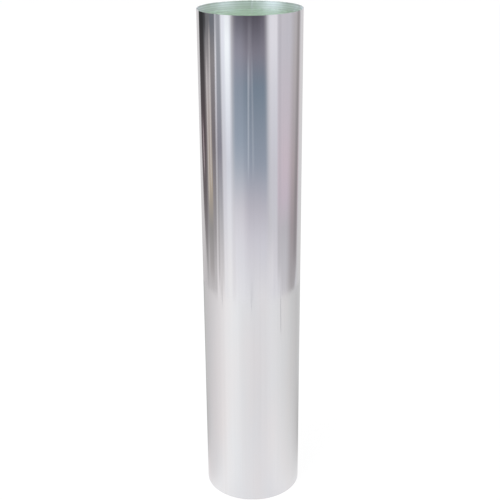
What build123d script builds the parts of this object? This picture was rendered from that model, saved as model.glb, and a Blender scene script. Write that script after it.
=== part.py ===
"""Rigid light tube of a tubular skylight: one bright aluminium sheet, rolled round
and closed along its back by a grooved lock seam. It stands upright on its lower end,
with +Z up, +Y towards the seam, and its origin on the axis in the plane of that end.
"""
import os
from math import acos, cos, degrees, radians, sin

from build123d import *

os.makedirs("parts", exist_ok=True)

# Driving dimensions, in millimetres
tube_diameter = 250.0
tube_length = 1280.0
sheet = 0.5
seam_width = 7.0
fold_gap = 0.1
tip_clearance = 0.6

# Middle radii of the four layers in the seam, from the bore outwards
layer_step = sheet + fold_gap
wall_radius = (tube_diameter - sheet) / 2
tucked_flap_radius = wall_radius + layer_step
folded_flap_radius = wall_radius + 2 * layer_step
cover_radius = wall_radius + 3 * layer_step

# Half of the seam, and how far each flap runs past the middle, along the wall
seam_half = seam_width / 2
flap_reach = seam_half - tip_clearance

# The cover bends round the fold below it, then eases back into the wall the other way
wrap_bend = 2 * layer_step
wrap_centre_radius = cover_radius - wrap_bend
ease_centre_radius = wall_radius + wrap_bend


def seam_angle(run: float) -> float:
    """Angle from +X, in degrees, of the place `run` mm along the wall from the seam's middle."""
    return 90 - degrees(run / wall_radius)


def at(radius: float, angle: float) -> tuple[float, float]:
    """Point at this radius and at this angle in degrees."""
    return radius * cos(radians(angle)), radius * sin(radians(angle))


def layer(radius: float, start: float, end: float) -> CenterArc:
    """Arc round the tube's axis from one angle to another, in degrees."""
    return CenterArc((0, 0), radius, start, end - start)


# Angles of the folds: two equal bends, tangent to each other, bring the cover down
near_fold = seam_angle(seam_half)
far_fold = seam_angle(-seam_half)
ease_turn = degrees(
    acos(
        (wrap_centre_radius**2 + ease_centre_radius**2 - (2 * wrap_bend) ** 2)
        / (2 * wrap_centre_radius * ease_centre_radius)
    )
)
wall_start = near_fold - ease_turn
wrap_centre = Vector(*at(wrap_centre_radius, near_fold))
ease_centre = Vector(*at(ease_centre_radius, wall_start))

# Light tube: the sheet's middle line, given its thickness and drawn out to full length
with BuildPart() as light_tube:
    with BuildSketch(Plane.XY):
        with BuildLine() as middle:
            tucked_flap = layer(tucked_flap_radius, seam_angle(flap_reach), far_fold)
            CenterArc(at(folded_flap_radius, far_fold), layer_step, far_fold + 180, -180)
            cover = layer(cover_radius, far_fold, near_fold)
            wrap = TangentArc(cover @ 1, (wrap_centre + ease_centre) / 2, tangent=cover % 1)
            TangentArc(wrap @ 1, at(wall_radius, wall_start), tangent=wrap % 1)
            wall = layer(wall_radius, wall_start, near_fold - 360)
            CenterArc(at(tucked_flap_radius, near_fold), layer_step, near_fold + 180, 180)
            folded_flap = layer(folded_flap_radius, near_fold, seam_angle(-flap_reach))
        trace(line_width=sheet)
    extrude(amount=tube_length)
light_tube.part.label = "light_tube"
export_step(light_tube.part, "parts/light_tube.step")

sheet_width = middle.wires()[0].length
print(f"sheet width {sheet_width:.2f} mm, section {light_tube.part.volume / tube_length:.3f} mm2")
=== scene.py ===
"""Rigid light tube of a tubular skylight, dressed for rendering.

One bright aluminium sheet is rolled round and closed along its back by a grooved lock
seam. It stands on its lower end on white studio paper. The sheet is a mirror, so the
studio round it, a ring of cards that only reflections see, is what gives it its look.
"""

import logging
import math
from dataclasses import dataclass, field
from enum import Enum

import bpy
from mathutils import Matrix, Vector


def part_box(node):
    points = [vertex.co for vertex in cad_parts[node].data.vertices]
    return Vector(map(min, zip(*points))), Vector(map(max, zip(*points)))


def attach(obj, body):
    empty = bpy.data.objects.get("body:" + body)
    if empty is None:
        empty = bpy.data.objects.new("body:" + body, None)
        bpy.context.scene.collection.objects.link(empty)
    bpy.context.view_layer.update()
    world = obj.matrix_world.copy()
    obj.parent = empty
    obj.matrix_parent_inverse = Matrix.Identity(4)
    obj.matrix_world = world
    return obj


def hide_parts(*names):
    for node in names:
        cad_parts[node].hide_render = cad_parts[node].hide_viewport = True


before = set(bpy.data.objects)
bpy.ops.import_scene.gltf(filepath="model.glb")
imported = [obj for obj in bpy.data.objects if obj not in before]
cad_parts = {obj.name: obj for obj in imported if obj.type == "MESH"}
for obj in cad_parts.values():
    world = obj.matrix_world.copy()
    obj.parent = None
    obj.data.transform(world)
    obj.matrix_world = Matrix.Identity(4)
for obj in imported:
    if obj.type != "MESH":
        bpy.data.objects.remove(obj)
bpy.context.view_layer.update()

MILLIMETRE = 0.001
LOG = logging.getLogger("light_tube")

Colour = tuple[float, float, float, float]
Pair = tuple[float, float]
Sockets = bpy.types.bpy_prop_collection

# Sockets by number: the two colours that a Mix node blends, and its result
FIRST, SECOND, BLEND = 6, 7, 2


def linear(colour: str) -> Colour:
    """Turns an sRGB hex colour into linear light.

    Args:
        colour: six hex digits after a hash, such as "#E1E2E4".

    Returns:
        Red, green, blue and an alpha of 1.
    """
    parts = [int(colour[i : i + 2], 16) / 255 for i in (1, 3, 5)]
    light = [p / 12.92 if p <= 0.04045 else ((p + 0.055) / 1.055) ** 2.4 for p in parts]
    return light[0], light[1], light[2], 1.0


def smooth(value: float, start: float, end: float) -> float:
    """Eases from 0 at start to 1 at end.

    Args:
        value: where to read the ease.
        start: where it begins; it may be more than end, for a fall.
        end: where it is complete.

    Returns:
        A share from 0 to 1.
    """
    share = min(1.0, max(0.0, (value - start) / (end - start)))
    return share * share * (3 - 2 * share)


def add_node(
    tree: bpy.types.NodeTree,
    kind: str,
    settings: dict[str, object] | None = None,
    inputs: dict[str | int, object] | tuple[object, ...] = (),
) -> bpy.types.Node:
    """Adds a node to a tree, with its settings, values and links.

    Args:
        tree: the shader or geometry tree.
        kind: the node's type name.
        settings: properties of the node, such as its data type.
        inputs: a value or the socket that feeds it, by an input's name or number, or for
            the first inputs in their order.

    Returns:
        The new node.
    """
    node = tree.nodes.new(kind)
    for name, value in (settings or {}).items():
        setattr(node, name, value)
    for name, value in inputs.items() if isinstance(inputs, dict) else enumerate(inputs):
        if isinstance(value, bpy.types.NodeSocket):
            tree.links.new(value, node.inputs[name])
        else:
            node.inputs[name].default_value = value
    return node


def new_material(name: str) -> bpy.types.Material:
    """Makes a node material that is still empty.

    Args:
        name: the finish's name.

    Returns:
        The material, with no node in its tree.
    """
    material = bpy.data.materials.new(name)
    material.use_nodes = True
    material.node_tree.nodes.clear()
    return material


def add_object(name: str, data: bpy.types.ID | None) -> bpy.types.Object:
    """Puts a new object at the origin of the scene.

    Args:
        name: the object's name.
        data: its mesh, lamp or camera.

    Returns:
        The object, linked to the scene.
    """
    item = bpy.data.objects.new(name, data)
    bpy.context.scene.collection.objects.link(item)
    return item


def on_bearing(azimuth: float, reach: float, height: float = 0.0) -> Vector:
    """Finds a place in the studio.

    Args:
        azimuth: in degrees from the camera, positive to its right.
        reach: level distance from the tube's axis.
        height: above the floor.

    Returns:
        The place.
    """
    turn = math.radians(azimuth)
    return Vector((reach * math.sin(turn), -reach * math.cos(turn), height))


@dataclass(frozen=True)
class BrightRolledSheet:
    """Outside of the sheet: aluminium rolled bright between polished mill rolls.

    It mirrors the room almost sharply. The rolls leave faint streaks along the tube,
    and the thin oxide on it drifts from a cool tint to a warm one. The streaks run from
    their least to their most over the middle of the noise, and a quarter turn from the
    way round lays the gloss along them.
    """

    name: str = "bright_rolled_aluminium"
    cool: str = "#DDE0E3"
    warm: str = "#E3DFDF"
    roughness: float = 0.08
    streak_roughness: float = 0.02
    anisotropy: float = 0.5
    gloss_turn: float = 0.25
    streak_width: float = 4.0 * MILLIMETRE
    streak_length: float = 900.0 * MILLIMETRE
    tint_width: float = 60.0 * MILLIMETRE
    tint_length: float = 260.0 * MILLIMETRE
    streak_depth: float = 0.05 * MILLIMETRE
    streak_relief: float = 0.3
    streak_tone: float = 0.012
    noise_middle: Pair = (0.3, 0.7)

    def material(self) -> bpy.types.Material:
        """Builds the finish.

        Returns:
            The node material.
        """
        made = new_material(self.name)
        tree = made.node_tree
        place = add_node(tree, "ShaderNodeTexCoord").outputs["Object"]
        streak, drift = (
            add_node(
                tree,
                "ShaderNodeTexNoise",
                inputs={
                    "Vector": add_node(
                        tree,
                        "ShaderNodeMapping",
                        inputs={"Vector": place, "Scale": (1 / width, 1 / width, 1 / length)},
                    ).outputs[0],
                    "Scale": 1.0,
                    "Detail": detail,
                },
            ).outputs["Fac"]
            for width, length, detail in (
                (self.streak_width, self.streak_length, 2.0),
                (self.tint_width, self.tint_length, 1.0),
            )
        )
        colour = add_node(
            tree,
            "ShaderNodeMix",
            {"data_type": "RGBA"},
            {"Factor": drift, FIRST: linear(self.cool), SECOND: linear(self.warm)},
        ).outputs[BLEND]
        shade, rough = (
            add_node(
                tree,
                "ShaderNodeMapRange",
                inputs={
                    "Value": streak,
                    "From Min": self.noise_middle[0],
                    "From Max": self.noise_middle[1],
                    "To Min": middle - spread,
                    "To Max": middle + spread,
                },
            ).outputs[0]
            for middle, spread in ((1.0, self.streak_tone), (self.roughness, self.streak_roughness))
        )
        streaked = add_node(
            tree,
            "ShaderNodeVectorMath",
            {"operation": "SCALE"},
            {0: colour, "Scale": shade},
        )
        bump = add_node(
            tree,
            "ShaderNodeBump",
            inputs={"Strength": self.streak_relief, "Distance": self.streak_depth, "Height": streak},
        )
        round_axis = add_node(tree, "ShaderNodeTangent", {"direction_type": "RADIAL", "axis": "Z"})
        metal = add_node(
            tree,
            "ShaderNodeBsdfPrincipled",
            inputs={
                "Base Color": streaked.outputs[0],
                "Metallic": 1.0,
                "Roughness": rough,
                "Anisotropic": self.anisotropy,
                "Anisotropic Rotation": self.gloss_turn,
                "Normal": bump.outputs[0],
                "Tangent": round_axis.outputs[0],
            },
        )
        add_node(tree, "ShaderNodeOutputMaterial", inputs={"Surface": metal.outputs[0]})
        return made


@dataclass(frozen=True)
class MirrorFilm:
    """Inside of the sheet: a silvered mirror film, laid on to carry daylight down.

    One glance off it is almost white. Seen down the tube, after dozens of glances, it
    turns a soft green, as two facing mirrors do. Near the upper end it is hazy from
    handling, so it catches the lights of the room. There its colour also carries painted
    reflection: dark bands, which stand in for the tube's lower rim mirrored again and
    again down the tube. The wave pitch is what one band of a wave texture measures at a
    scale of 1.
    """

    name: str = "silvered_mirror_film"
    kept_head_on: Colour = (0.9770, 0.9884, 0.9780, 1.0)
    kept_grazing: Colour = (0.9960, 0.9988, 0.9915, 1.0)
    roughness: float = 0.01
    haze: float = 0.005
    end_haze: float = 0.35
    end_reach: float = 55.0 * MILLIMETRE
    haze_roughness: float = 0.42
    # Painted reflection: pitch and depth of dark bands painted into the film's colour near its upper end,
    # in place of the lower rim mirrored down the tube
    painted_ring_pitch: float = 5.4 * MILLIMETRE
    painted_ring_depth: float = 0.2
    wave_pitch: float = math.pi / 10
    length: float = 1.28

    def material(self) -> bpy.types.Material:
        """Builds the finish.

        Returns:
            The node material.
        """
        made = new_material(self.name)
        tree = made.node_tree
        slope = add_node(tree, "ShaderNodeLayerWeight", inputs={"Blend": 0.5}).outputs["Facing"]
        kept = add_node(
            tree,
            "ShaderNodeMix",
            {"data_type": "RGBA"},
            {"Factor": slope, FIRST: self.kept_head_on, SECOND: self.kept_grazing},
        ).outputs[BLEND]
        place = add_node(tree, "ShaderNodeTexCoord").outputs["Object"]
        height = add_node(tree, "ShaderNodeSeparateXYZ", inputs=(place,)).outputs[2]
        haze, painted_ring_depth = (
            add_node(
                tree,
                "ShaderNodeMapRange",
                {"interpolation_type": "SMOOTHSTEP"},
                {
                    "Value": height,
                    "From Min": self.length - self.end_reach,
                    "From Max": self.length,
                    "To Min": inside,
                    "To Max": at_end,
                },
            ).outputs[0]
            for inside, at_end in ((self.haze, self.end_haze), (0.0, self.painted_ring_depth))
        )
        # Painted reflection: wave bands darken the film's colour towards black near the upper end,
        # standing in for the lower rim mirrored down the tube
        ring = add_node(
            tree,
            "ShaderNodeTexWave",
            {"wave_type": "BANDS", "bands_direction": "Z"},
            {"Vector": place, "Scale": self.wave_pitch / self.painted_ring_pitch, "Distortion": 0.0},
        ).outputs["Fac"]
        painted_rings = add_node(tree, "ShaderNodeMath", {"operation": "MULTIPLY"}, (ring, painted_ring_depth)).outputs[0]
        kept = add_node(
            tree,
            "ShaderNodeMix",
            {"data_type": "RGBA"},
            {"Factor": painted_rings, FIRST: kept, SECOND: (0.0, 0.0, 0.0, 1.0)},
        ).outputs[BLEND]
        clear, hazy = (
            add_node(
                tree,
                "ShaderNodeBsdfPrincipled",
                inputs={"Base Color": kept, "Metallic": 1.0, "Roughness": roughness},
            ).outputs[0]
            for roughness in (self.roughness, self.haze_roughness)
        )
        film = add_node(tree, "ShaderNodeMixShader", inputs={0: haze, 1: clear, 2: hazy})
        add_node(tree, "ShaderNodeOutputMaterial", inputs={"Surface": film.outputs[0]})
        return made


@dataclass(frozen=True)
class ShearedEdge:
    """Cut edge of the sheet, left by the shear: plain aluminium, duller and pale."""

    name: str = "sheared_aluminium_edge"
    colour: str = "#CFD1CE"
    roughness: float = 0.45

    def material(self) -> bpy.types.Material:
        """Builds the finish.

        Returns:
            The node material.
        """
        made = new_material(self.name)
        metal = add_node(
            made.node_tree,
            "ShaderNodeBsdfPrincipled",
            inputs={"Base Color": linear(self.colour), "Metallic": 1.0, "Roughness": self.roughness},
        )
        add_node(made.node_tree, "ShaderNodeOutputMaterial", inputs={"Surface": metal.outputs[0]})
        return made


class Face(Enum):
    """Which side of a bend the sheet's outside face is on."""

    AWAY = 1.0
    TOWARDS = -1.0


@dataclass(frozen=True)
class Bend:
    """One round stretch of the sheet's middle line, seen from above.

    Args:
        centre: what it bends round.
        radius: to the middle of the sheet.
        start: angle of its first point from +X, in degrees.
        end: angle of its last point.
        face: whether the outside face looks away from the centre or towards it.
        step: largest angle between two points of it.
    """

    centre: Pair
    radius: float
    start: float
    end: float
    face: Face
    step: float

    def points(self) -> list[tuple[Vector, Vector]]:
        """Places points along the bend.

        Returns:
            Each point, and the direction that the outside face looks there.
        """
        count = max(1, math.ceil(abs(self.end - self.start) / self.step))
        found = []
        for i in range(count + 1):
            turn = math.radians(self.start + (self.end - self.start) * i / count)
            out = Vector((math.cos(turn), math.sin(turn), 0.0))
            found.append((Vector((*self.centre, 0.0)) + self.radius * out, self.face.value * out))
        return found


@dataclass
class LightTube:
    """The tube: one sheet rolled round, with a grooved lock seam at its back.

    Args:
        radius: to the outside of the wall.
        length: along the axis.
    """

    radius: float
    length: float
    sheet: float = 0.5 * MILLIMETRE
    fold_gap: float = 0.1 * MILLIMETRE
    seam_width: float = 7.0 * MILLIMETRE
    tip_clearance: float = 0.6 * MILLIMETRE
    wall_step: float = 1.5
    fold_step: float = 15.0
    rows: int = 97
    buckle_depth: float = 0.12 * MILLIMETRE
    buckle_length: float = 230.0 * MILLIMETRE
    crisp_angle: float = 50.0
    seed: int = 7
    outside: BrightRolledSheet = field(default_factory=BrightRolledSheet)
    inside: MirrorFilm = field(default_factory=MirrorFilm)
    edge: ShearedEdge = field(default_factory=ShearedEdge)

    @property
    def wall_radius(self) -> float:
        """Radius of the middle of the wall."""
        return self.radius - self.sheet / 2

    def layer_radius(self, layer: int) -> float:
        """Radius of the middle of a layer in the seam, counted outwards from the wall."""
        return self.wall_radius + layer * (self.sheet + self.fold_gap)

    def seam_angle(self, run: float) -> float:
        """Angle from +X, in degrees, of a place `run` metres along the wall from the seam's middle."""
        return 90 - math.degrees(run / self.wall_radius)

    @staticmethod
    def at(radius: float, angle: float) -> Pair:
        """Point at this radius and at this angle in degrees."""
        return radius * math.cos(math.radians(angle)), radius * math.sin(math.radians(angle))

    def middle_line(self) -> list[tuple[Vector, Vector]]:
        """Follows the sheet from the flap tucked inside the seam round to the folded one.

        Returns:
            Each point of the middle line, and the direction of the outside face there.
        """
        axis = (0.0, 0.0)
        fold = self.sheet + self.fold_gap
        wrap = 2 * fold
        half = self.seam_width / 2
        reach = half - self.tip_clearance
        wall, tucked, folded, cover = (self.layer_radius(layer) for layer in range(4))
        near, far = self.seam_angle(half), self.seam_angle(-half)
        low, high = cover - wrap, wall + wrap
        ease = math.degrees(math.acos((low**2 + high**2 - (2 * wrap) ** 2) / (2 * low * high)))
        wall_start = near - ease
        wrap_centre, ease_centre = self.at(low, near), self.at(high, wall_start)
        lean = math.degrees(
            math.atan2(ease_centre[1] - wrap_centre[1], ease_centre[0] - wrap_centre[0])
        )
        bends = (
            Bend(axis, tucked, self.seam_angle(reach), far, Face.TOWARDS, self.wall_step),
            Bend(self.at(folded, far), fold, far + 180, far, Face.AWAY, self.fold_step),
            Bend(axis, cover, far, near, Face.AWAY, self.wall_step),
            Bend(wrap_centre, wrap, near, lean, Face.AWAY, self.fold_step),
            Bend(ease_centre, wrap, lean + 180, wall_start + 180, Face.TOWARDS, self.fold_step),
            Bend(axis, wall, wall_start, near - 360, Face.AWAY, self.wall_step),
            Bend(self.at(tucked, near), fold, near + 180, near + 360, Face.TOWARDS, self.fold_step),
            Bend(axis, folded, near, self.seam_angle(-reach), Face.TOWARDS, self.wall_step),
        )
        line = bends[0].points()
        for bend in bends[1:]:
            line += bend.points()[1:]
        return line

    def add_blank(self, tree: bpy.types.NodeTree, given: Sockets) -> tuple[Sockets, bpy.types.NodeSocket]:
        """Adds the flat blank: one column for each point of the middle line, and two faces.

        Args:
            tree: the geometry tree.
            given: the tree's named inputs.

        Returns:
            The blank with its flat normals, and its size: the columns along X, the sheet
            along Y and the tube's length along Z.
        """
        line = add_node(
            tree,
            "GeometryNodeAttributeDomainSize",
            {"component": "MESH"},
            {"Geometry": given["Middle Line"]},
        )
        columns = line.outputs["Point Count"]
        last = add_node(tree, "ShaderNodeMath", {"operation": "SUBTRACT"}, (columns, 1.0)).outputs[0]
        size = add_node(
            tree, "ShaderNodeCombineXYZ", inputs=(last, given["Sheet"], given["Length"])
        ).outputs[0]
        blank = add_node(
            tree,
            "GeometryNodeMeshCube",
            inputs={"Size": size, "Vertices X": columns, "Vertices Y": 2, "Vertices Z": given["Rows"]},
        )
        kept = add_node(tree, "GeometryNodeCaptureAttribute", {"domain": "FACE"})
        kept.capture_items.new("VECTOR", "flat_normal")
        normal = add_node(tree, "GeometryNodeInputNormal").outputs[0]
        tree.links.new(blank.outputs["Mesh"], kept.inputs["Geometry"])
        tree.links.new(normal, kept.inputs["flat_normal"])
        return kept.outputs, size

    def add_rolling(
        self,
        tree: bpy.types.NodeTree,
        given: Sockets,
        blank: Sockets,
        size: bpy.types.NodeSocket,
    ) -> bpy.types.NodeSocket:
        """Adds the rolling: a column takes its point of the line, and a face its side of it.

        Args:
            tree: the geometry tree.
            given: the tree's named inputs.
            blank: the flat blank.
            size: of the blank.

        Returns:
            The rolled sheet.
        """
        place = add_node(tree, "GeometryNodeInputPosition").outputs[0]
        from_corner = add_node(
            tree,
            "ShaderNodeVectorMath",
            {"operation": "MULTIPLY_ADD"},
            (size, (0.5, 0.0, 0.5), place),
        ).outputs[0]
        column, side, height = add_node(tree, "ShaderNodeSeparateXYZ", inputs=(from_corner,)).outputs
        index = add_node(tree, "ShaderNodeMath", {"operation": "ROUND"}, (column,)).outputs[0]
        outward = add_node(
            tree,
            "GeometryNodeInputNamedAttribute",
            {"data_type": "FLOAT_VECTOR"},
            {"Name": "outward"},
        ).outputs["Attribute"]
        middle, out = (
            add_node(
                tree,
                "GeometryNodeSampleIndex",
                {"data_type": "FLOAT_VECTOR", "domain": "POINT"},
                {"Geometry": given["Middle Line"], "Value": value, "Index": index},
            ).outputs["Value"]
            for value in (place, outward)
        )
        on_face = add_node(
            tree, "ShaderNodeVectorMath", {"operation": "MULTIPLY_ADD"}, (out, side, middle)
        ).outputs[0]
        upright = add_node(tree, "ShaderNodeCombineXYZ", inputs={"Z": height}).outputs[0]
        return add_node(
            tree,
            "GeometryNodeSetPosition",
            inputs={"Geometry": blank["Geometry"], "Position": on_face, "Offset": upright},
        ).outputs[0]

    def add_buckling(
        self, tree: bpy.types.NodeTree, given: Sockets, rolled: bpy.types.NodeSocket
    ) -> bpy.types.NodeSocket:
        """Adds the buckling: the thin wall dips a little inwards, alike in all its layers.

        Args:
            tree: the geometry tree.
            given: the tree's named inputs.
            rolled: the rolled sheet.

        Returns:
            The buckled sheet.
        """
        place = add_node(tree, "GeometryNodeInputPosition").outputs[0]
        level, upright = (
            add_node(tree, "ShaderNodeVectorMath", {"operation": "MULTIPLY"}, (place, kept)).outputs[0]
            for kept in ((1.0, 1.0, 0.0), (0.0, 0.0, 1.0))
        )
        radial = add_node(tree, "ShaderNodeVectorMath", {"operation": "NORMALIZE"}, (level,)).outputs[0]
        on_wall = add_node(
            tree,
            "ShaderNodeVectorMath",
            {"operation": "MULTIPLY_ADD"},
            (radial, (self.radius, self.radius, self.radius), upright),
        ).outputs[0]
        scale = add_node(
            tree, "ShaderNodeMath", {"operation": "DIVIDE"}, (1.0, given["Buckle Length"])
        ).outputs[0]
        noise = add_node(
            tree,
            "ShaderNodeTexNoise",
            {"noise_dimensions": "4D"},
            {"Vector": on_wall, "W": given["Seed"], "Scale": scale, "Detail": 1.0},
        ).outputs["Fac"]
        depth = add_node(
            tree, "ShaderNodeMath", {"operation": "MULTIPLY"}, (given["Buckle Depth"], -1.0)
        ).outputs[0]
        dip = add_node(tree, "ShaderNodeMath", {"operation": "MULTIPLY"}, (noise, depth)).outputs[0]
        inward = add_node(
            tree, "ShaderNodeVectorMath", {"operation": "SCALE"}, {0: radial, "Scale": dip}
        ).outputs[0]
        return add_node(
            tree, "GeometryNodeSetPosition", inputs={"Geometry": rolled, "Offset": inward}
        ).outputs[0]

    def add_finishes(
        self,
        tree: bpy.types.NodeTree,
        given: Sockets,
        sheet: bpy.types.NodeSocket,
        flat_normal: bpy.types.NodeSocket,
    ) -> bpy.types.NodeSocket:
        """Adds the shading, smooth with crisp cut edges, and the finish of each face.

        Args:
            tree: the geometry tree.
            given: the tree's named inputs.
            sheet: the rolled sheet.
            flat_normal: the way that each face looked on the flat blank.

        Returns:
            The finished tube.
        """
        turn = add_node(tree, "GeometryNodeInputMeshEdgeAngle").outputs["Unsigned Angle"]
        crisp = add_node(
            tree, "ShaderNodeMath", {"operation": "GREATER_THAN"}, (turn, math.radians(self.crisp_angle))
        ).outputs[0]
        soft = add_node(
            tree,
            "GeometryNodeSetShadeSmooth",
            {"domain": "FACE"},
            {"Geometry": sheet, "Shade Smooth": True},
        ).outputs[0]
        shaded = add_node(
            tree,
            "GeometryNodeSetShadeSmooth",
            {"domain": "EDGE"},
            {"Geometry": soft, "Selection": crisp, "Shade Smooth": False},
        ).outputs[0]
        made = add_node(tree, "GeometryNodeRealizeInstances", inputs=(shaded,)).outputs[0]
        # On the flat blank the outside face looks along Y, and the inside face against it
        facing = add_node(tree, "ShaderNodeSeparateXYZ", inputs=(flat_normal,)).outputs[1]
        outside, inside = (
            add_node(tree, "ShaderNodeMath", {"operation": test}, (facing, limit)).outputs[0]
            for test, limit in (("GREATER_THAN", 0.5), ("LESS_THAN", -0.5))
        )
        for finish, faces in (("Edge", True), ("Outside", outside), ("Inside", inside)):
            made = add_node(
                tree,
                "GeometryNodeSetMaterial",
                inputs={"Geometry": made, "Selection": faces, "Material": given[finish]},
            ).outputs[0]
        return made

    def rolling_tree(self) -> bpy.types.NodeTree:
        """Builds the tree that rolls a flat blank round the middle line.

        Returns:
            The geometry tree. Its input is the middle line, with `outward` on its points.
        """
        tree = bpy.data.node_groups.new("roll_sheet", "GeometryNodeTree")
        sockets = (
            ("Middle Line", "INPUT", "NodeSocketGeometry"),
            ("Length", "INPUT", "NodeSocketFloat"),
            ("Sheet", "INPUT", "NodeSocketFloat"),
            ("Rows", "INPUT", "NodeSocketInt"),
            ("Buckle Depth", "INPUT", "NodeSocketFloat"),
            ("Buckle Length", "INPUT", "NodeSocketFloat"),
            ("Seed", "INPUT", "NodeSocketInt"),
            ("Outside", "INPUT", "NodeSocketMaterial"),
            ("Inside", "INPUT", "NodeSocketMaterial"),
            ("Edge", "INPUT", "NodeSocketMaterial"),
            ("Tube", "OUTPUT", "NodeSocketGeometry"),
        )
        for name, direction, kind in sockets:
            tree.interface.new_socket(name=name, in_out=direction, socket_type=kind)
        given = add_node(tree, "NodeGroupInput").outputs
        blank, size = self.add_blank(tree, given)
        rolled = self.add_rolling(tree, given, blank, size)
        buckled = self.add_buckling(tree, given, rolled)
        tube = self.add_finishes(tree, given, buckled, blank["flat_normal"])
        add_node(tree, "NodeGroupOutput", inputs={"Tube": tube})
        return tree

    def build(self) -> bpy.types.Object:
        """Rolls the sheet and turns the result into a plain mesh.

        Returns:
            The finished piece, with its three finishes on it.
        """
        line = self.middle_line()
        mesh = bpy.data.meshes.new("middle_line")
        mesh.from_pydata([point for point, _ in line], [(i, i + 1) for i in range(len(line) - 1)], [])
        outward = mesh.attributes.new("outward", "FLOAT_VECTOR", "POINT")
        outward.data.foreach_set("vector", [x for _, out in line for x in out])
        seed_object = add_object("middle_line", mesh)
        tree = self.rolling_tree()
        modifier = seed_object.modifiers.new("roll", "NODES")
        modifier.node_group = tree
        values = {
            "Length": self.length,
            "Sheet": self.sheet,
            "Rows": self.rows,
            "Buckle Depth": self.buckle_depth,
            "Buckle Length": self.buckle_length,
            "Seed": self.seed,
            "Outside": self.outside.material(),
            "Inside": self.inside.material(),
            "Edge": self.edge.material(),
        }
        for socket in tree.interface.items_tree:
            if socket.name in values:
                modifier[socket.identifier] = values[socket.name]
        evaluated = seed_object.evaluated_get(bpy.context.evaluated_depsgraph_get())
        rolled = bpy.data.meshes.new_from_object(evaluated)
        seed_object.modifiers.remove(modifier)
        bpy.data.objects.remove(seed_object)
        rolled.name = "rolled_tube"
        return add_object("rolled_tube", rolled)

    def dress(self) -> bpy.types.Object:
        """Builds the tube and puts it in place of the plain solid.

        Returns:
            The piece that is shown.
        """
        piece = self.build()
        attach(piece, "root")
        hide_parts("light_tube")
        return piece


@dataclass(frozen=True)
class Card:
    """A panel of the studio ring, as the tube mirrors it.

    Args:
        left: azimuth of its left edge, in degrees from the camera, positive to the right.
        right: azimuth of its right edge.
        tones: for heights in metres, from the top down, the tone seen in the metal.
        soft: softness of its left and right edges, in degrees to either side.
        slant: how far it leans to the right, in degrees for each metre of height.
        flare: how much wider it gets at each side, in degrees for each metre downwards.
        foot: height of its lower edge, in metres.
        bow: how much higher the lower edge is at the side away from the camera.
        fade: length over which its lower and upper edges fade, in metres.
        top: height of its upper edge.
        share: how much of what is behind it the card hides.
        waist: height at which a slanted or flared card has its edges at left and right.
    """

    left: float
    right: float
    tones: dict[float, str]
    soft: Pair = (3.0, 3.0)
    slant: float = 0.0
    flare: float = 0.0
    foot: float = -1.0
    bow: float = 0.0
    fade: float = 0.1
    top: float = 9.0
    share: float = 1.0
    waist: float = 0.6

    def cover(self, azimuth: float, height: float) -> float:
        """How much of the ring it hides.

        Args:
            azimuth: in degrees from the camera.
            height: in metres.

        Returns:
            A share from 0 to 1.
        """
        rise = height - self.waist
        along = azimuth - self.slant * rise
        left, right = self.left + self.flare * rise, self.right - self.flare * rise
        near, far = sorted((abs(self.left), abs(self.right)))
        across = min(1.0, max(0.0, (abs(along) - near) / max(far - near, 1.0)))
        foot = self.foot + self.bow * across**2
        return (
            self.share
            * smooth(along, left - self.soft[0], left + self.soft[0])
            * smooth(along, right + self.soft[1], right - self.soft[1])
            * smooth(height, foot, foot + self.fade)
            * smooth(height, self.top + self.fade, self.top)
        )

    def tone(self, height: float) -> Colour:
        """Colour of the card at a height.

        Args:
            height: in metres.

        Returns:
            Linear colour, blended between the two nearest tones.
        """
        levels = list(self.tones.items())
        upper = levels[0]
        for lower in levels:
            if lower[0] <= height:
                share = min(1.0, (height - lower[0]) / max(upper[0] - lower[0], MILLIMETRE))
                mixed = [a + (b - a) * share for a, b in zip(linear(lower[1]), linear(upper[1]))]
                return mixed[0], mixed[1], mixed[2], 1.0
            upper = lower
        return linear(upper[1])


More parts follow.
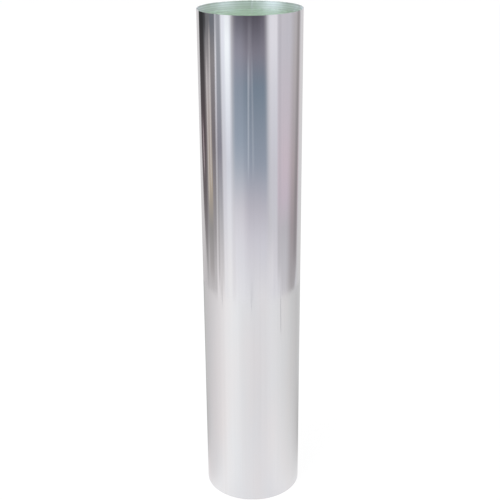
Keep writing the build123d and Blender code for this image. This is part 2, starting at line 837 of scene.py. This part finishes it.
@dataclass
class StudioRing:
    """Cards that stand in a ring round the tube. Only reflections see them.

    Args:
        radius: of the ring, in metres.
        height: of the ring.
        azimuth_step: from one column of its mesh to the next, in degrees.
        height_step: from one row to the next.
        strength: of the glow of a white card.
        cards: from the back to the front.
        legs: azimuth, and level distance of both ends, of each foot of the stands.
        leg_width: of a foot.
        leg_height: of a foot above the paper.
        leg_tone: colour of a foot.
    """

    radius: float = 1.4
    height: float = 2.6
    azimuth_step: float = 0.5
    height_step: float = 0.02
    strength: float = 1.34
    cards: tuple[Card, ...] = (
        # Pale walls of the studio, dimmer straight behind the tube
        Card(-190, 190, {0.5: "#BCBABB", 0.3: "#B4B2B3", 0.1: "#AEACAD"}),
        Card(-154, 154, {0.5: "#C7C5C6", 0.3: "#C0BEBF", 0.1: "#B9B7B8"}, soft=(5, 5)),
        # Grey side of the room on the left, with a beige door in it
        Card(
            -135, -63,
            {
                1.06: "#6C6F76", 0.93: "#868283", 0.62: "#726D71",
                0.37: "#8E8A8C", 0.25: "#9A9798", 0.1: "#B6B3B4",
            },
            foot=-0.06, bow=0.32, fade=0.16,
        ),
        Card(
            -110, -93.2,
            {
                1.06: "#6C6C6E", 0.84: "#ABA5A5", 0.6: "#A59C95", 0.44: "#AA9E8E",
                0.27: "#8F8D8C", 0.12: "#A19E9E", 0.0: "#B6B2B3",
            },
            soft=(4, 2.6), foot=0.0,
        ),
        # Black flag before it, with a lit pole
        Card(
            -139.3, -114,
            {
                1.06: "#323233", 0.82: "#4C4849", 0.6: "#564C50",
                0.39: "#676163", 0.25: "#7D797A", 0.1: "#939292",
            },
            soft=(3, 6), slant=2.5, foot=-0.06, bow=0.5, fade=0.2,
        ),
        Card(-117, -107, {1.0: "#3B3B3C"}, (3, 3), foot=0.98, fade=0.08, share=0.85),
        Card(-130, -125, {0.6: "#A89C9F"}, (1.5, 1.5), slant=-15, foot=0.44, top=0.62, share=0.85),
        # Bright edges of the door
        Card(-108.5, -105.3, {0.8: "#D4D0CE"}, (1, 1), foot=0.34, top=0.86, share=0.5),
        Card(-99, -96, {0.8: "#D8D3D1"}, (1, 1), slant=6, foot=0.4, top=0.98, share=0.55),
        # Door frame and panel beside it
        Card(
            -81.4, -76.4,
            {
                1.06: "#C0C1C7", 0.97: "#E6E5EA", 0.83: "#D5D4DA",
                0.6: "#B1AFB6", 0.37: "#B6B5B7", 0.1: "#D5D2D3",
            },
            soft=(1.5, 1.5), slant=6,
        ),
        Card(
            -76, -64.3,
            {1.06: "#97999F", 0.82: "#8F9299", 0.6: "#85848E", 0.37: "#A8A7AB", 0.1: "#CAC8C9"},
        ),
        # Light that creeps under the frame and the panel
        Card(-82, -75, {0.0: "#EDEBEC"}, (2, 2), top=0.0, fade=0.12, share=0.6),
        Card(-69, -62, {0.0: "#EDEBEC"}, (2, 2), top=0.0, fade=0.12, share=0.55),
        # Soft box left of the camera, brighter in its middle
        Card(-64, -40, {1.0: "#DFE1E8", 0.6: "#C6C7CE", 0.4: "#CFCED4", 0.1: "#E0E0E2"}, soft=(3, 4)),
        Card(
            -54.5, -42.5,
            {
                1.09: "#E6EAEE", 1.0: "#F4F8FA", 0.65: "#D7DAE2",
                0.54: "#CED1D9", 0.4: "#DADADF", 0.1: "#E6E6E7",
            },
            soft=(4, 4),
        ),
        # Unlit room behind the camera, lighter at its left, with faint patches and two pale poles
        Card(
            -38.2, 39,
            {
                1.09: "#535059", 0.96: "#7E7B86", 0.84: "#72808E", 0.55: "#8F97A4",
                0.38: "#B5B3BC", 0.25: "#C9C7CE", 0.0: "#DBDADC",
            },
            soft=(7, 11), flare=5.5,
        ),
        Card(
            -42, -13,
            {1.08: "#80818B", 1.0: "#AAACB9", 0.65: "#A6B3C1", 0.35: "#F0EFF1"},
            soft=(5, 11), share=0.32,
        ),
        Card(21, 34, {1.0: "#8F8B95"}, (5, 3), foot=0.88, fade=0.15, share=0.2),
        Card(-3, 3, {0.0: "#B4B3B8"}, (2, 2), top=0.0, fade=0.12, share=0.35),
        Card(-5, 2, {0.9: "#A4A3AC"}, (2, 3), foot=0.78, top=1.02, share=0.25),
        Card(-7, -3.5, {0.8: "#CFD4DC"}, (1, 1), slant=4, foot=0.47, top=0.88, share=0.33),
        Card(3.0, 6.0, {0.8: "#C4C8D0"}, (1, 1), slant=-4, foot=0.47, top=0.88, share=0.23),
        # Soft box right of the camera, and the lilac wall beyond it, with light at its foot
        Card(
            39.4, 190,
            {1.0: "#DBDAE0", 0.83: "#D0D0D7", 0.53: "#C5C3CA", 0.3: "#C5C4CA", 0.1: "#D2D1D6"},
            soft=(8.5, 0.1), slant=-7, share=0.96,
        ),
        Card(36, 50, {0.2: "#E6E5E9"}, soft=(4, 4), top=0.08, fade=0.25, share=0.4),
        Card(
            59, 190,
            {1.0: "#BEBCC3", 0.55: "#C4B7BF", 0.4: "#C0B4BE", 0.28: "#B5B3B8", 0.0: "#C3C2C6"},
            soft=(3, 0.1), slant=-3,
        ),
        Card(56, 69, {0.0: "#D9D8DC"}, (3, 5), top=0.0, fade=0.16, share=0.7),
        Card(62, 68.5, {1.0: "#A19FA6"}, soft=(1.5, 2.5), slant=-4, foot=0.3, share=0.2),
        # Grey stand before the lilac wall, darker at its far side, and the pale wall past it
        Card(
            95.5, 130,
            {1.0: "#AFABAD", 0.5: "#A89DA0", 0.27: "#9B9396", 0.0: "#A4A1A2"},
            soft=(12, 3), slant=8, foot=-0.16, bow=0.22, fade=0.08,
        ),
        Card(
            113.5, 125.6,
            {1.0: "#8F8B8C", 0.4: "#847F81", 0.2: "#8A8688"},
            soft=(6.5, 3), slant=8, foot=0.06, fade=0.14, share=0.85,
        ),
        Card(131.5, 190, {0.5: "#C7C5C6", 0.1: "#C3C2C2"}, (4.5, 0.1), slant=8),
        Card(154, 190, {0.5: "#BCBABB", 0.1: "#B6B5B5"}, (5, 0.1)),
    )
    legs: tuple[tuple[float, float, float], ...] = ((-71, 1.32, 1.40), (-1, 1.34, 1.40), (69, 1.08, 1.38))
    leg_width: float = 0.030
    leg_height: float = 0.002
    leg_tone: str = "#A9A9AC"

    def light(self, azimuth: float, height: float) -> Colour:
        """Colour that a reflection finds on the ring.

        Args:
            azimuth: in degrees from the camera.
            height: in metres.

        Returns:
            Linear colour.
        """
        found = self.cards[0].tone(height)
        for card in self.cards:
            cover = card.cover(azimuth, height)
            if cover > 0:
                found = tuple(a + (b - a) * cover for a, b in zip(found, card.tone(height)))
        return found

    def glow(self) -> bpy.types.Material:
        """Builds the glow of the cards.

        Returns:
            The node material.
        """
        made = new_material("studio_cards")
        tint = add_node(
            made.node_tree,
            "ShaderNodeAttribute",
            {"attribute_type": "GEOMETRY", "attribute_name": "card_tone"},
        )
        glow = add_node(
            made.node_tree,
            "ShaderNodeEmission",
            inputs={"Color": tint.outputs["Color"], "Strength": self.strength},
        )
        add_node(made.node_tree, "ShaderNodeOutputMaterial", inputs={"Surface": glow.outputs[0]})
        return made

    def build(self) -> bpy.types.Object:
        """Builds the ring and the feet of its stands, and hides them from all but reflections.

        Returns:
            The ring.
        """
        columns = round(360 / self.azimuth_step)
        rows = round(self.height / self.height_step)
        points, tones, faces = [], [], []
        for j in range(rows + 1):
            height = j * self.height_step
            for i in range(columns):
                azimuth = i * self.azimuth_step - 180
                points.append(on_bearing(azimuth, self.radius, height))
                tones.extend(self.light(azimuth, height))
        for j in range(rows):
            for i in range(columns):
                near, far = j * columns + i, j * columns + (i + 1) % columns
                faces.append((near, near + columns, far + columns, far))
        for azimuth, near, far in self.legs:
            aside = on_bearing(azimuth + 90, self.leg_width / 2)
            first = len(points)
            for reach, way in ((near, -1), (near, 1), (far, 1), (far, -1)):
                points.append(on_bearing(azimuth, reach, self.leg_height) + aside * way)
                tones.extend(linear(self.leg_tone))
            faces.append((first, first + 1, first + 2, first + 3))
        mesh = bpy.data.meshes.new("studio_ring")
        mesh.from_pydata(points, [], faces)
        mesh.attributes.new("card_tone", "FLOAT_COLOR", "POINT").data.foreach_set("color", tones)
        mesh.materials.append(self.glow())
        ring = add_object("studio_ring", mesh)
        for unseen in ("camera", "diffuse", "transmission", "volume_scatter", "shadow"):
            setattr(ring, "visible_" + unseen, False)
        return ring


@dataclass
class PaperFloor:
    """White studio paper that the tube stands on. It keeps the tube's shadow.

    Args:
        half_width: of the sheet of paper, in metres.
        colour: of the paper.
        lift: share of the paper's look that is held at white for the camera.
        glow: strength of that white.
        bearings: azimuth from the camera in degrees, with the light that the metal mirrors
            from the paper there, the share of it left beside the tube, and its tint.
        gain: light that the ramp's full white stands for.
        near: distance from the tube's axis up to which the paper is at its near light.
        far: distance from which it is at its far light.
        far_share: share of a bearing's light that is left there.
        tube_radius: of the tube's foot.
        foot_shade: how far the shade under the tube's foot reaches inwards, in metres.
        foot_depth: how much darker the paper gets there.
    """

    half_width: float = 30.0
    colour: str = "#F2F2F2"
    lift: float = 0.86
    glow: float = 1.055
    bearings: tuple[tuple[float, float, float, str], ...] = (
        (-180, 0.42, 0.70, "#FFFFFF"),
        (-158, 0.37, 0.31, "#FFFFFF"),
        (-146, 0.64, 0.49, "#FFFFFF"),
        (-128, 0.68, 0.83, "#FFFDFE"),
        (-105, 0.835, 0.97, "#FFFBFC"),
        (-78, 0.96, 0.91, "#FFFCFD"),
        (-50, 1.20, 0.97, "#FFFFFF"),
        (-20, 1.0, 1.0, "#FFFEFF"),
        (20, 0.94, 1.0, "#FDFCFF"),
        (48, 1.075, 1.0, "#FFFEFF"),
        (90, 0.86, 1.0, "#FFFFFF"),
        (115, 0.73, 0.97, "#FFFFFF"),
        (133, 0.65, 0.71, "#FFFFFF"),
        (146, 0.70, 0.55, "#FFFFFF"),
        (158, 0.61, 0.39, "#FFFFFF"),
        (180, 0.46, 0.70, "#FFFFFF"),
    )
    gain: float = 1.5
    near: float = 0.1
    far: float = 0.75
    far_share: float = 0.945
    tube_radius: float = 0.1245
    foot_shade: float = 0.05
    foot_depth: float = 0.35

    def material(self) -> bpy.types.Material:
        """Builds the paper: white for the camera, and shaded by bearing for the metal.

        Returns:
            The node material.
        """
        made = new_material("white_studio_paper")
        tree = made.node_tree
        path = add_node(tree, "ShaderNodeLightPath").outputs
        mirrored = add_node(
            tree,
            "ShaderNodeMath",
            {"operation": "MAXIMUM"},
            (path["Is Glossy Ray"], path["Is Transmission Ray"]),
        ).outputs[0]
        seen = add_node(
            tree, "ShaderNodeMath", {"operation": "MAXIMUM"}, (path["Is Camera Ray"], mirrored)
        ).outputs[0]
        held = add_node(tree, "ShaderNodeMath", {"operation": "MULTIPLY"}, (seen, self.lift)).outputs[0]
        place = add_node(tree, "ShaderNodeTexCoord").outputs["Object"]
        from_back = add_node(
            tree, "ShaderNodeMapping", inputs={"Vector": place, "Rotation": (0.0, 0.0, math.pi / 2)}
        ).outputs[0]
        bearing = add_node(
            tree, "ShaderNodeTexGradient", {"gradient_type": "RADIAL"}, (from_back,)
        ).outputs["Fac"]
        ramp = add_node(tree, "ShaderNodeValToRGB", inputs=(bearing,))
        ramp.color_ramp.interpolation = "B_SPLINE"
        stops = ramp.color_ramp.elements
        while len(stops) < len(self.bearings):
            stops.new(1.0)
        for stop, (azimuth, strength, beside, tint) in zip(stops, self.bearings):
            stop.position = azimuth / 360 + 0.5
            stop.color = [strength / self.gain * part for part in linear(tint)[:3]] + [beside]
        lit = add_node(
            tree, "ShaderNodeVectorMath", {"operation": "SCALE"}, {0: ramp.outputs[0], "Scale": self.gain}
        ).outputs[0]
        reach = add_node(tree, "ShaderNodeVectorMath", {"operation": "LENGTH"}, (place,)).outputs["Value"]
        foot, outer = (
            add_node(
                tree,
                "ShaderNodeMapRange",
                {"interpolation_type": "SMOOTHSTEP"},
                {
                    "Value": reach,
                    "From Min": start,
                    "From Max": end,
                    "To Min": at_start,
                    "To Max": at_end,
                },
            ).outputs[0]
            for start, end, at_start, at_end in (
                (self.tube_radius - self.foot_shade, self.tube_radius, 1.0, 1.0 - self.foot_depth),
                (self.near, self.far, ramp.outputs[1], self.far_share),
            )
        )
        shaded = add_node(
            tree, "ShaderNodeVectorMath", {"operation": "SCALE"}, {0: lit, "Scale": outer}
        ).outputs[0]
        inner = add_node(
            tree, "ShaderNodeMath", {"operation": "LESS_THAN"}, (reach, self.tube_radius)
        ).outputs[0]
        mirrored_glow = add_node(
            tree, "ShaderNodeMix", {"data_type": "RGBA"}, {"Factor": inner, FIRST: shaded, SECOND: foot}
        ).outputs[BLEND]
        light = add_node(
            tree,
            "ShaderNodeMix",
            {"data_type": "RGBA"},
            {"Factor": mirrored, FIRST: (self.glow, self.glow, self.glow, 1.0), SECOND: mirrored_glow},
        ).outputs[BLEND]
        glow = add_node(tree, "ShaderNodeEmission", inputs={"Color": light})
        paper = add_node(tree, "ShaderNodeBsdfDiffuse", inputs={"Color": linear(self.colour)})
        mixed = add_node(
            tree, "ShaderNodeMixShader", inputs={0: held, 1: paper.outputs[0], 2: glow.outputs[0]}
        )
        add_node(tree, "ShaderNodeOutputMaterial", inputs={"Surface": mixed.outputs[0]})
        return made

    def build(self) -> bpy.types.Object:
        """Lays the paper.

        Returns:
            The floor.
        """
        w = self.half_width
        mesh = bpy.data.meshes.new("paper_floor")
        mesh.from_pydata([(-w, -w, 0), (w, -w, 0), (w, w, 0), (-w, w, 0)], [], [(0, 1, 2, 3)])
        mesh.materials.append(self.material())
        floor = add_object("paper_floor", mesh)
        return floor


@dataclass
class SoftLight:
    """Plain soft light: a white world, a wide lamp that places the shadow, and soft boxes.

    The soft boxes hang over the rim, where only the inside of the tube mirrors them.

    Args:
        world_strength: of the light that the world gives to the paper.
        lamp_power: of the wide lamp, in watts.
        lamp_size: its diameter, in metres.
        lamp_place: where it hangs.
        boxes: azimuth in degrees from the camera, and power in watts, of each soft box.
        box_colour: of their light.
        box_size: its side, in metres.
        box_distance: level distance from the tube's axis.
        box_height: above the floor.
        box_aim: height of the place on the tube's axis that they face.
        bounces: how often light may cross the tube.
    """

    world_strength: float = 0.8
    lamp_power: float = 60.0
    lamp_size: float = 2.0
    lamp_place: tuple[float, float, float] = (-1.6, -1.8, 3.2)
    boxes: tuple[tuple[float, float], ...] = ((-51, 28.0), (51, 13.0))
    box_colour: str = "#E2E9FF"
    box_size: float = 0.4
    box_distance: float = 1.35
    box_height: float = 1.75
    box_aim: float = 1.28
    bounces: int = 256

    def build_world(self) -> None:
        """Makes the world white for the camera and for metal, and plain for the rest."""
        world = bpy.data.worlds.new("white_room")
        world.use_nodes = True
        tree = world.node_tree
        tree.nodes.clear()
        path = add_node(tree, "ShaderNodeLightPath").outputs
        seen = path["Is Camera Ray"]
        for kind in ("Is Glossy Ray", "Is Transmission Ray"):
            seen = add_node(
                tree, "ShaderNodeMath", {"operation": "MAXIMUM"}, (seen, path[kind])
            ).outputs[0]
        strength = add_node(
            tree,
            "ShaderNodeMapRange",
            inputs={"Value": seen, "To Min": self.world_strength, "To Max": 1.0},
        )
        white = add_node(
            tree,
            "ShaderNodeBackground",
            inputs={"Color": (1.0, 1.0, 1.0, 1.0), "Strength": strength.outputs[0]},
        )
        add_node(tree, "ShaderNodeOutputWorld", inputs={"Surface": white.outputs[0]})
        bpy.context.scene.world = world

    def build_lamp(
        self, name: str, place: Vector, aim: Vector, size: float, power: float
    ) -> bpy.types.Object:
        """Hangs a lamp.

        Args:
            name: the lamp's name.
            place: where it hangs.
            aim: the point that it faces.
            size: its diameter or side, in metres.
            power: in watts.

        Returns:
            The lamp.
        """
        data = bpy.data.lights.new(name, "AREA")
        data.size = size
        data.energy = power
        lamp = add_object(name, data)
        lamp.location = place
        lamp.rotation_euler = (aim - place).to_track_quat("-Z", "Y").to_euler()
        lamp.visible_camera = False
        return lamp

    def build_lamps(self) -> None:
        """Hangs the wide lamp, which no metal mirrors, and the soft boxes, which only metal does."""
        place = Vector(self.lamp_place)
        wide = self.build_lamp("wide_lamp", place, Vector(), self.lamp_size, self.lamp_power)
        wide.data.shape = "DISK"
        wide.visible_glossy = False
        for azimuth, power in self.boxes:
            place = on_bearing(azimuth, self.box_distance, self.box_height)
            box = self.build_lamp("soft_box", place, Vector((0, 0, self.box_aim)), self.box_size, power)
            box.data.color = linear(self.box_colour)[:3]
            box.visible_diffuse = False

    def build(self) -> None:
        """Builds the light, and lets it cross the tube as often as a real one does."""
        self.build_world()
        self.build_lamps()
        cycles = bpy.context.scene.cycles
        cycles.max_bounces = self.bounces
        cycles.glossy_bounces = self.bounces
        bpy.context.scene.view_settings.view_transform = "Standard"


@dataclass
class PhotoCamera:
    """The camera, found from the tube's outline.

    Args:
        distance: level distance from the tube's axis, in metres.
        height: above the floor, in metres.
        yaw: turn to the right, in degrees.
        pitch: look downwards, in degrees.
        roll: tilt of the picture, in degrees.
        lens: focal length.
        sensor: width of the picture that the lens throws.
    """

    distance: float = 2.329
    height: float = 1.604
    yaw: float = -0.098
    pitch: float = 21.783
    roll: float = -0.422
    lens: float = 70.70
    sensor: float = 36.0

    def build(self) -> bpy.types.Object:
        """Sets the camera up.

        Returns:
            The scene's camera.
        """
        data = bpy.data.cameras.new("photo_camera")
        data.sensor_width = self.sensor
        data.lens = self.lens
        camera = add_object("photo_camera", data)
        turn = Matrix.Rotation(math.radians(-self.yaw), 4, "Z")
        look = Matrix.Rotation(math.radians(90 - self.pitch), 4, "X")
        tilt = Matrix.Rotation(math.radians(self.roll), 4, "Z")
        camera.matrix_world = Matrix.Translation((0, -self.distance, self.height)) @ turn @ look @ tilt
        bpy.context.scene.camera = camera
        return camera


def main() -> None:
    """Builds the tube and the studio round it, and reports each piece."""
    logging.basicConfig(level=logging.INFO, format="%(message)s")
    low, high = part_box("light_tube")
    length = high.z - low.z
    tube = LightTube(radius=(high.x - low.x) / 2, length=length, inside=MirrorFilm(length=length))
    piece = tube.dress()
    LOG.info("%s: %d faces", piece.name, len(piece.data.polygons))
    for stand in (PaperFloor(), StudioRing()):
        made = stand.build()
        LOG.info("%s: %d faces", made.name, len(made.data.polygons))
    SoftLight().build()
    camera = PhotoCamera().build()
    LOG.info("%s: %.1f mm lens", camera.name, camera.data.lens)


if __name__ == "__main__":
    main()
